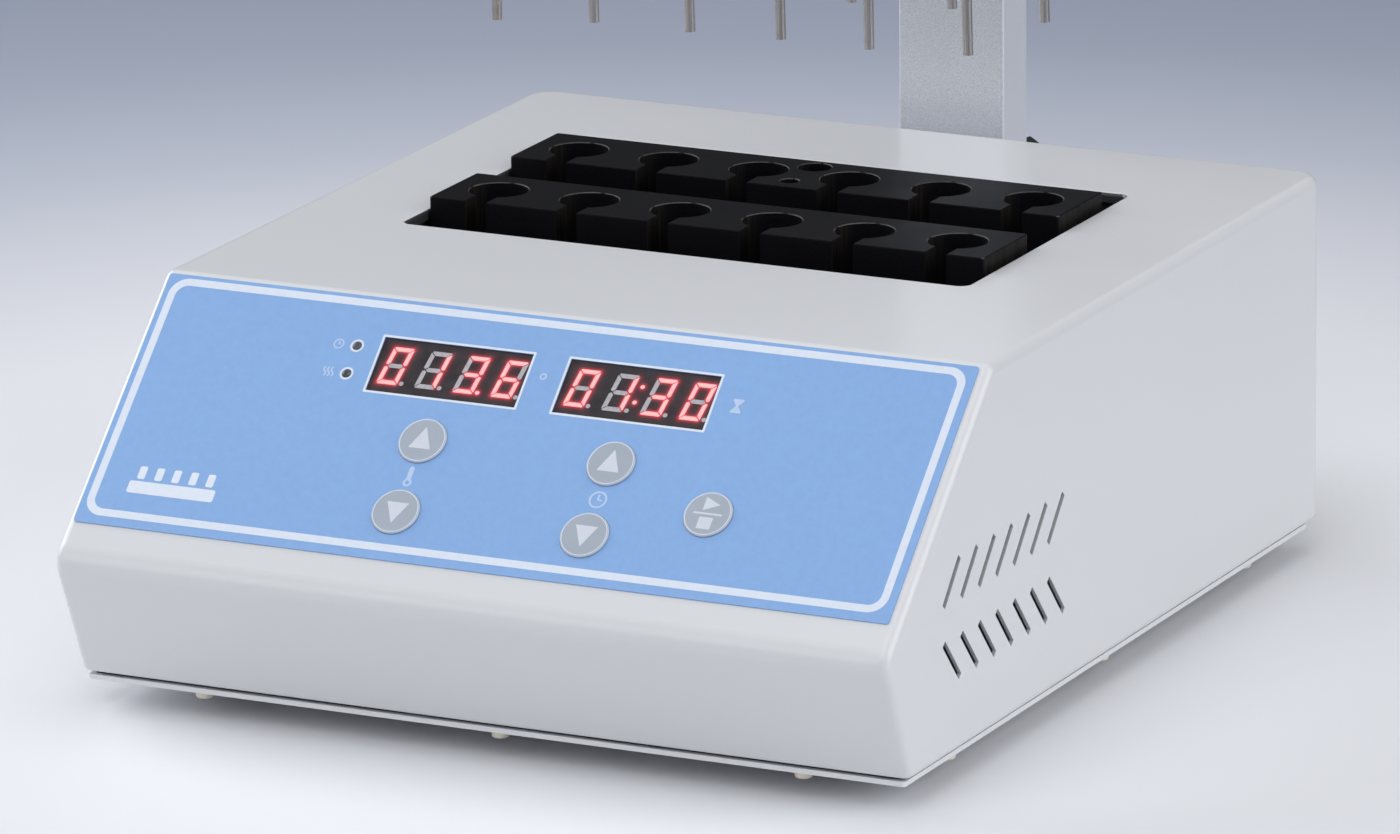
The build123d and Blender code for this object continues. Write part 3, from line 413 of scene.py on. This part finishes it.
ASSIGN = {
    "casing_cover": "case", "rear_panel": "base", "base_plate": "base", "base_joint_strip": "rubber",
    "base_screws": "cream", "rubber_feet": "rubber", "foot_and_support_screws": "plated", "foot_nuts": "plated",
    "well_liner": "liner", "insulation_jacket": "fibre", "insulation_pad": "fibre", "heater_plate": "heater",
    "bar_dowels": "plated", "heater_cartridges": "plated", "temperature_sensor": "plated", "thermal_cutout": "black",
    "heater_supports": "plated", "front_bar": "anodised", "rear_bar": "anodised", "keypad_overlay": "film",
    "display_temperature": "black", "display_time": "black", "indicator_lamps": "lens",
    "button_temp_up": "key", "button_temp_down": "key", "button_time_up": "key", "button_time_down": "key",
    "button_start_stop": "key", "tact_switches": "black", "display_board": "board", "board_spacers": "plated",
    "board_screws": "plated", "power_board": "board", "transformer": "blue_block", "earth_stud": "brass",
    "rear_panel_screws": "cream", "mains_inlet": "black", "inlet_pins": "brass", "fuse_drawer": "black",
    "fuse": "ceramic", "switch_rocker": "red", "column_bracket": "machined", "bracket_screws": "plated",
    "backing_plate": "plated", "column": "column", "column_cap": "black", "column_clamp_knob": "black",
    "carriage": "machined", "carriage_glides": "grey", "carriage_lock_knob": "black", "head_arm": "machined",
    "arm_screws": "plated", "gas_chamber": "machined", "chamber_gasket": "silicone", "chamber_lid": "machined",
    "lid_screws": "plated", "needle_fittings": "brass", "needles": "needle", "gas_valve_body": "brass",
    "gas_valve_knob": "black"}
for name, o in NODES.items():
    m = M[ASSIGN[name]] if isinstance(M[ASSIGN[name]], bpy.types.Material) else M[ASSIGN[name]].m
    if not o.material_slots:
        o.data.materials.append(m)
    for s in o.material_slots:
        s.material = m


# ---------------------------------------------------------------- thin printed and moulded details
def add_mesh(name, verts, faces, mat, body, smooth=False):
    me = bpy.data.meshes.new(name)
    me.from_pydata([tuple(v) for v in verts], [], faces)
    me.validate()
    me.update()
    o = bpy.data.objects.new(name, me)
    bpy.context.scene.collection.objects.link(o)
    me.materials.append(mat)
    if smooth:
        for p in me.polygons:
            p.use_smooth = True
    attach(o, body)
    return o


def outline(name, loops, w0, w1, mat, body, matrix=None):
    """closed flat shapes (with holes) in panel coordinates, w0..w1 thick"""
    cu = bpy.data.curves.new(name, "CURVE")
    cu.dimensions = "2D"
    cu.fill_mode = "BOTH"
    cu.extrude = (w1 - w0) / 2
    for pts in loops:
        sp = cu.splines.new("POLY")
        sp.points.add(len(pts) - 1)
        for i, (a, b) in enumerate(pts):
            sp.points[i].co = (a, b, 0, 1)
        sp.use_cyclic_u = True
    tmp = bpy.data.objects.new(name + "_tmp", cu)
    bpy.context.scene.collection.objects.link(tmp)
    dg = bpy.context.evaluated_depsgraph_get()
    me = bpy.data.meshes.new_from_object(tmp.evaluated_get(dg))
    bpy.data.objects.remove(tmp)
    bpy.data.curves.remove(cu)
    me.transform(Matrix.Translation((0, 0, (w0 + w1) / 2)))
    me.transform(matrix if matrix is not None else PANEL)
    me.name = name
    me.materials.clear()
    me.materials.append(mat)
    o = bpy.data.objects.new(name, me)
    bpy.context.scene.collection.objects.link(o)
    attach(o, body)
    return o


def rrect(u0, u1, v0, v1, r, n=8):
    out = []
    for cx, cy, a0 in ((u1 - r, v1 - r, 0), (u0 + r, v1 - r, 90), (u0 + r, v0 + r, 180), (u1 - r, v0 + r, 270)):
        for i in range(n + 1):
            a = math.radians(a0 + 90 * i / n)
            out.append((cx + r * math.cos(a), cy + r * math.sin(a)))
    return out


def circ(u, v, r, n=40):
    return [(u + r * math.cos(2 * math.pi * i / n), v + r * math.sin(2 * math.pi * i / n)) for i in range(n)]


def stroke(pts, width):
    """outline of a polyline of constant width, square ends"""
    left, right = [], []
    for i, p in enumerate(pts):
        a = pts[max(i - 1, 0)]
        b = pts[min(i + 1, len(pts) - 1)]
        d = math.hypot(b[0] - a[0], b[1] - a[1])
        nx, ny = -(b[1] - a[1]) / d * width / 2, (b[0] - a[0]) / d * width / 2
        left.append((p[0] + nx, p[1] + ny))
        right.append((p[0] - nx, p[1] - ny))
    return left + right[::-1]


PR0, PR1 = OVERLAY_T - 0.02, OVERLAY_T + 0.03
outline("panel_frame_line", [rrect(-132.6, 130.9, 15.2, 100.0 - 0.5, 6.0, 12), rrect(-130.1, 128.4, 17.7, 97.0, 3.8, 12)],
        PR0, PR1, M["print"], "root")
for tag, (a, b, c, d) in WIN.items():
    outline("window_line_" + tag, [rrect(a - 0.75, b + 0.75, c - 0.75, d + 0.75, 0.35, 3), rrect(a, b, c, d, 0.05, 2)],
            PR0, PR1, M["print_white"], "root")
for i, v in enumerate(LAMP_V):
    outline("lamp_ring_%d" % (i + 1), [circ(LAMP_U, v, 2.2), circ(LAMP_U, v, 1.52)], PR0, PR1, M["print"], "root")

# generic pictograms where the panel carries its legends
icons = []


def clock(u, v, r, w):
    return [circ(u, v, r), circ(u, v, r - w), stroke([(u, v + r * 0.62), (u, v), (u + r * 0.48, v - r * 0.05)], w)]


def thermometer(u, v, h, w):
    r = h * 0.20
    body = []
    yb = v - h / 2 + r
    q = h * 0.115
    for i in range(13):
        a = math.radians(180 * i / 12)
        body.append((u + q * math.cos(a), v + h / 2 - q + q * math.sin(a)))
    a0 = math.asin(q / r)
    for i in range(25):
        a = math.pi / 2 + a0 + (2 * math.pi - 2 * a0) * i / 24
        body.append((u + r * math.cos(a), yb + r * math.sin(a)))
    return [body, circ(u, yb, r * 0.5, 20)]


def waves(u, v, h, w, n=3, pitch=1.9):
    out = []
    for k in range(n):
        x = u + (k - (n - 1) / 2) * pitch
        out.append(stroke([(x + 0.5 * math.sin(2 * math.pi * t / 12), v - h / 2 + h * t / 12) for t in range(13)], w))
    return out


outline("mark_temperature", thermometer(-32.1, 41.2, 7.0, 0.6), PR0, PR1, M["print_faint"], "root")
outline("mark_time", clock(30.0, 41.2, 2.9, 0.6), PR0, PR1, M["print_faint"], "root")
outline("mark_lamp_timer", clock(-70.8, 83.2, 1.75, 0.45), PR0, PR1, M["print_faint"], "root")
outline("mark_lamp_heat", waves(-70.8, 73.4, 3.2, 0.5, 3, 1.25), PR0, PR1, M["print_faint"], "root")
outline("mark_degrees", [circ(-1.6, 80.2, 1.15, 24), circ(-1.6, 80.2, 0.62, 24)], PR0, PR1, M["print_faint"], "root")
outline("mark_hourglass", [[(61.0, 80.4), (64.4, 80.4), (64.4, 79.8), (63.0, 78.0), (64.4, 76.2), (64.4, 75.6),
                            (61.0, 75.6), (61.0, 76.2), (62.4, 78.0), (61.0, 79.8)]], PR0, PR1, M["print_faint"], "root")
tubes = [rrect(-121.0, -92.0, 24.2, 28.4, 0.7, 3)]
for i in range(5):
    x = -117.9 + i * 5.75
    tubes.append(rrect(x - 1.25, x + 1.25, 29.2, 33.6, 0.55, 3))
outline("mark_tubes", tubes, PR0, PR1, M["print_white"], "root")

# key faces: pale ring and arrow on each key
for k, (u, v) in KEYS.items():
    K0, K1 = KEY_TOP - 0.02, KEY_TOP + 0.03
    outline("key_edge_" + k, [circ(u, v, 7.22, 64), circ(u, v, 6.98, 64)], K0, K1, M["print"], "key_" + k)
    if k.endswith("up"):
        loops = [[(u - 3.6, v - 2.9), (u + 3.6, v - 2.9), (u, v + 4.6)]]
    elif k.endswith("down"):
        loops = [[(u - 3.6, v + 3.0), (u + 3.6, v + 3.0), (u, v - 4.2)]]
    else:
        loops = [[(u - 2.0, v + 1.0), (u + 3.0, v + 3.3), (u - 2.0, v + 5.6)], rrect(u - 4.6, u + 4.6, v - 0.3, v + 0.3, 0.1, 2),
                 rrect(u - 2.2, u + 2.2, v - 5.2, v - 0.9 - 0.3, 0.2, 2)]
    outline("key_mark_" + k, loops, K0, K1, M["tri"], "key_" + k)

# ---------------------------------------------------------------- displays
DW, DH, DT, DG = 7.0, 13.1, 1.50, 0.23
SL = math.tan(math.radians(8.0))


def seg_polys():
    h, w, t, g = DH, DW, DT, DG
    m = h / 2
    s = {}
    s["a"] = [(0.35 + g, h), (w - 0.35 - g, h), (w - g, h - 0.35), (w - t - g * 0.3, h - t), (t + g * 0.3, h - t), (g, h - 0.35)]
    s["d"] = [(p[0], h - p[1]) for p in s["a"]][::-1]
    s["g"] = [(t * 0.5 + g, m), (t + g, m + t * 0.48), (w - t - g, m + t * 0.48), (w - t * 0.5 - g, m), (w - t - g, m - t * 0.48), (t + g, m - t * 0.48)]
    s["f"] = [(0, h - 0.55 - g), (0.12, h - 0.4 - g), (t, h - t - g), (t, m + t * 0.5 + g), (t * 0.5, m + g), (0, m + 0.35 + g)]
    s["b"] = [(w - p[0], p[1]) for p in s["f"]][::-1]
    s["e"] = [(p[0], h - p[1]) for p in s["f"]][::-1]
    s["c"] = [(w - p[0], h - p[1]) for p in s["f"]]
    return s


SEG = seg_polys()
ON = {"0": "abcdef", "1": "bc", "3": "abcdg", "6": "acdefg"}


def dist_seg(px, py, ax, ay, bx, by):
    dx, dy = bx - ax, by - ay
    t = max(0.0, min(1.0, ((px - ax) * dx + (py - ay) * dy) / (dx * dx + dy * dy)))
    return math.hypot(px - ax - t * dx, py - ay - t * dy)


def inside(px, py, poly):
    c = False
    n = len(poly)
    for i in range(n):
        x0, y0 = poly[i]
        x1, y1 = poly[(i + 1) % n]
        if (y0 > py) != (y1 > py) and px < (x1 - x0) * (py - y0) / (y1 - y0) + x0:
            c = not c
    return c


def display(tag, text, dots_on, colon):
    a, b, c, d = WIN[tag]
    x0, y0 = a + 2.15, 71.55
    on, off = [], []
    for i, ch in enumerate(text):
        ox = x0 + 12.65 * i
        for name, poly in SEG.items():
            pts = [(ox + p[0] + p[1] * SL, y0 + p[1]) for p in poly]
            (on if name in ON[ch] else off).append(pts)
        dot = circ(ox + 8.35, y0 + 0.78, 0.74, 16)
        (on if i in dots_on else off).append(dot)
    if colon:
        for v in (75.4, 80.9):
            on.append(circ(x0 + 12.65 * 1 + 9.4 + (v - y0) * SL, v, 0.72, 16))
    # face grid with the halo strength at each point
    nu, nv = 150, 57
    verts, vals = [], []
    u0, u1, v0, v1 = a - 0.2, b + 0.2, c - 0.05, d + 0.05
    edges = []
    for poly in on:
        xs, ys = [p[0] for p in poly], [p[1] for p in poly]
        edges.append((min(xs) - 2.4, max(xs) + 2.4, min(ys) - 2.4, max(ys) + 2.4, poly))
    for j in range(nv + 1):
        for i in range(nu + 1):
            u, v = u0 + (u1 - u0) * i / nu, v0 + (v1 - v0) * j / nv
            best, tot = 9.0, 0.0
            for (xa, xb, ya, yb, poly) in edges:
                if xa < u < xb and ya < v < yb:
                    if inside(u, v, poly):
                        dd = 0.0
                    else:
                        dd = min(dist_seg(u, v, *poly[k], *poly[(k + 1) % len(poly)]) for k in range(len(poly)))
                    tot += 0.9 * math.exp(-(dd / 0.40) ** 1.2) + 0.10 * math.exp(-dd / 1.1)
            verts.append((u, v))
            vals.append(min(1.0, tot))
    top, bot = -0.045, -0.049
    V = [PANEL @ Vector((u, v, top)) for u, v in verts]
    nn = len(V)
    V += [PANEL @ Vector((u, v, bot)) for u, v in verts]
    faces = []
    for j in range(nv):
        for i in range(nu):
            k = j * (nu + 1) + i
            faces.append((k, k + 1, k + nu + 2, k + nu + 1))
            faces.append((nn + k, nn + k + nu + 1, nn + k + nu + 2, nn + k + 1))
    ring = [i for i in range(nu + 1)] + [nu + (nu + 1) * j for j in range(1, nv + 1)] \
        + [nv * (nu + 1) + i for i in range(nu - 1, -1, -1)] + [(nu + 1) * j for j in range(nv - 1, 0, -1)]
    for i in range(len(ring)):
        p, q = ring[i], ring[(i + 1) % len(ring)]
        faces.append((p, nn + p, nn + q, q))
    o = add_mesh("display_face_" + tag, V, faces, M["face"], "root")
    at = o.data.attributes.new("glow", "FLOAT", "POINT")
    at.data.foreach_set("value", vals + vals)
    # segments: lit ones carry their own core-to-edge value
    for nm, polys, mat, wz in (("segments_on_" + tag, on, M["lit"], 0.028), ("segments_off_" + tag, off, M["unlit"], 0.015)):
        V, Fc, core = [], [], []
        for poly in polys:
            cx = sum(p[0] for p in poly) / len(poly)
            cyy = sum(p[1] for p in poly) / len(poly)
            # the middle line: poly shrunk towards its own long axis
            inner = []
            xs, ys = [p[0] for p in poly], [p[1] for p in poly]
            long_v = (max(ys) - min(ys)) > (max(xs) - min(xs))
            for (px, py) in poly:
                if long_v:
                    lx = cx + (py - cyy) * SL
                    inner.append((lx + (px - lx) * 0.30, cyy + (py - cyy) * 0.90))
                else:
                    inner.append((cx + (px - cx) * 0.90, cyy + (py - cyy) * 0.30))
            n = len(poly)
            base = len(V)
            for ringp, z, cv in ((poly, -0.047, 0.0), (poly, -0.045 + wz * 0.75, 0.05), (inner, -0.045 + wz, 1.0)):
                for (px, py) in ringp:
                    V.append(PANEL @ Vector((px, py, z)))
                    core.append(cv)
            sgn = sum(poly[i][0] * poly[(i + 1) % n][1] - poly[(i + 1) % n][0] * poly[i][1] for i in range(n))
            for i in range(n):
                j = (i + 1) % n
                for lv in (0, 1):
                    q = (base + lv * n + i, base + lv * n + j, base + (lv + 1) * n + j, base + (lv + 1) * n + i)
                    Fc.append(q if sgn > 0 else q[::-1])
            t = [base + 2 * n + i for i in range(n)]
            bt = [base + i for i in range(n)][::-1]
            Fc.append(tuple(t if sgn > 0 else t[::-1]))
            Fc.append(tuple(bt if sgn > 0 else bt[::-1]))
        o = add_mesh(nm, V, Fc, mat, "root")
        at = o.data.attributes.new("core", "FLOAT", "POINT")
        at.data.foreach_set("value", core)


display("temp", "0136", {2}, False)
display("time", "0130", set(), True)

# ---------------------------------------------------------------- stage
def floor():
    k = Mat("floor")
    k.set(rough=0.55)
    sep = k.node("SeparateXYZ")
    k.link(k.co.outputs["Object"], sep.inputs["Vector"])
    r = k.mth("SQRT", k.mth("ADD", k.mth("MULTIPLY", sep.outputs["X"], sep.outputs["X"]),
                            k.mth("MULTIPLY", sep.outputs["Y"], sep.outputs["Y"])))
    # the floor darkens with distance from the centre: a painted falloff of light, from the bright pool under the
    # object to the dim blue-grey far off that stands as the background
    f = k.mrange(r, 0.0, 1.2, 0.0, 1.0)
    base = k.ramp(f, [(0.20, srgb(236, 237, 241)), (0.30, srgb(228, 229, 234)), (0.42, srgb(206, 208, 217)),
                      (0.50, srgb(184, 189, 202)), (0.62, srgb(158, 165, 182)), (0.76, srgb(142, 149, 168)), (1.0, srgb(132, 140, 160))])
    me = bpy.data.meshes.new("floor")
    n = 48
    vs, fs = [(0, 0, 0)], []
    rings = [0.3, 0.6, 1.2, 3.0, 12.0]
    for rr in rings:
        for i in range(n):
            a = 2 * math.pi * i / n
            vs.append((rr * math.cos(a), rr * math.sin(a), 0))
    for i in range(n):
        fs.append((0, 1 + i, 1 + (i + 1) % n))
    for q in range(len(rings) - 1):
        for i in range(n):
            a, b = 1 + q * n + i, 1 + q * n + (i + 1) % n
            fs.append((a, a + n, b + n, b))
    me.from_pydata(vs, [], fs)
    o = bpy.data.objects.new("floor", me)
    bpy.context.scene.collection.objects.link(o)
    me.materials.append(k.out(base))


floor()


def area(name, pos, target, sx, sy, power, col=(1, 1, 1)):
    li = bpy.data.lights.new(name, "AREA")
    li.shape = "RECTANGLE"
    li.size, li.size_y = sx, sy
    li.energy = power
    li.color = col
    o = bpy.data.objects.new(name, li)
    bpy.context.scene.collection.objects.link(o)
    o.location = pos
    d = Vector(target) - Vector(pos)
    o.rotation_euler = d.to_track_quat("-Z", "Y").to_euler()
    return o


area("top", (0.1, 0.4, 1.9), (0, 0, 0.1), 1.8, 1.8, 9, (0.96, 0.98, 1))
area("front", (0.2, -1.3, 1.7), (0, 0, 0.1), 2.0, 2.0, 21, (0.97, 0.985, 1))
area("front_left", (-1.3, -2.6, 0.9), (0, 0, 0.15), 1.6, 1.3, 11, (1, 0.995, 0.98))
area("right", (2.3, 0.2, 1.1), (0, 0, 0.1), 2.0, 2.0, 35, (0.985, 0.992, 1))
area("left", (-2.2, 0.2, 1.3), (0, 0, 0.1), 2.0, 2.0, 47, (0.95, 0.975, 1))
area("back", (-0.5, 2.6, 1.5), (0, 0, 0.15), 1.8, 1.0, 2)

w = bpy.data.worlds.new("studio")
bpy.context.scene.world = w
w.use_nodes = True
nt = w.node_tree
bg = nt.nodes["Background"]
tc = nt.nodes.new("ShaderNodeTexCoord")
sp = nt.nodes.new("ShaderNodeSeparateXYZ")
cr = nt.nodes.new("ShaderNodeValToRGB")
nt.links.new(tc.outputs["Generated"], sp.inputs["Vector"])
nt.links.new(sp.outputs["Z"], cr.inputs["Fac"])
e = cr.color_ramp.elements
e[0].position, e[0].color = 0.0, srgb(176, 180, 190)
e[1].position, e[1].color = 1.0, srgb(238, 239, 242)
k1 = e.new(0.30)
k1.color = srgb(188, 192, 202)
nt.links.new(cr.outputs["Color"], bg.inputs["Color"])
bg.inputs["Strength"].default_value = 0.13

bpy.context.scene.view_settings.view_transform = "Standard"
bpy.context.scene.view_settings.look = "None"
bpy.context.scene.view_settings.exposure = 0.0
bpy.context.scene.view_settings.gamma = 1.0
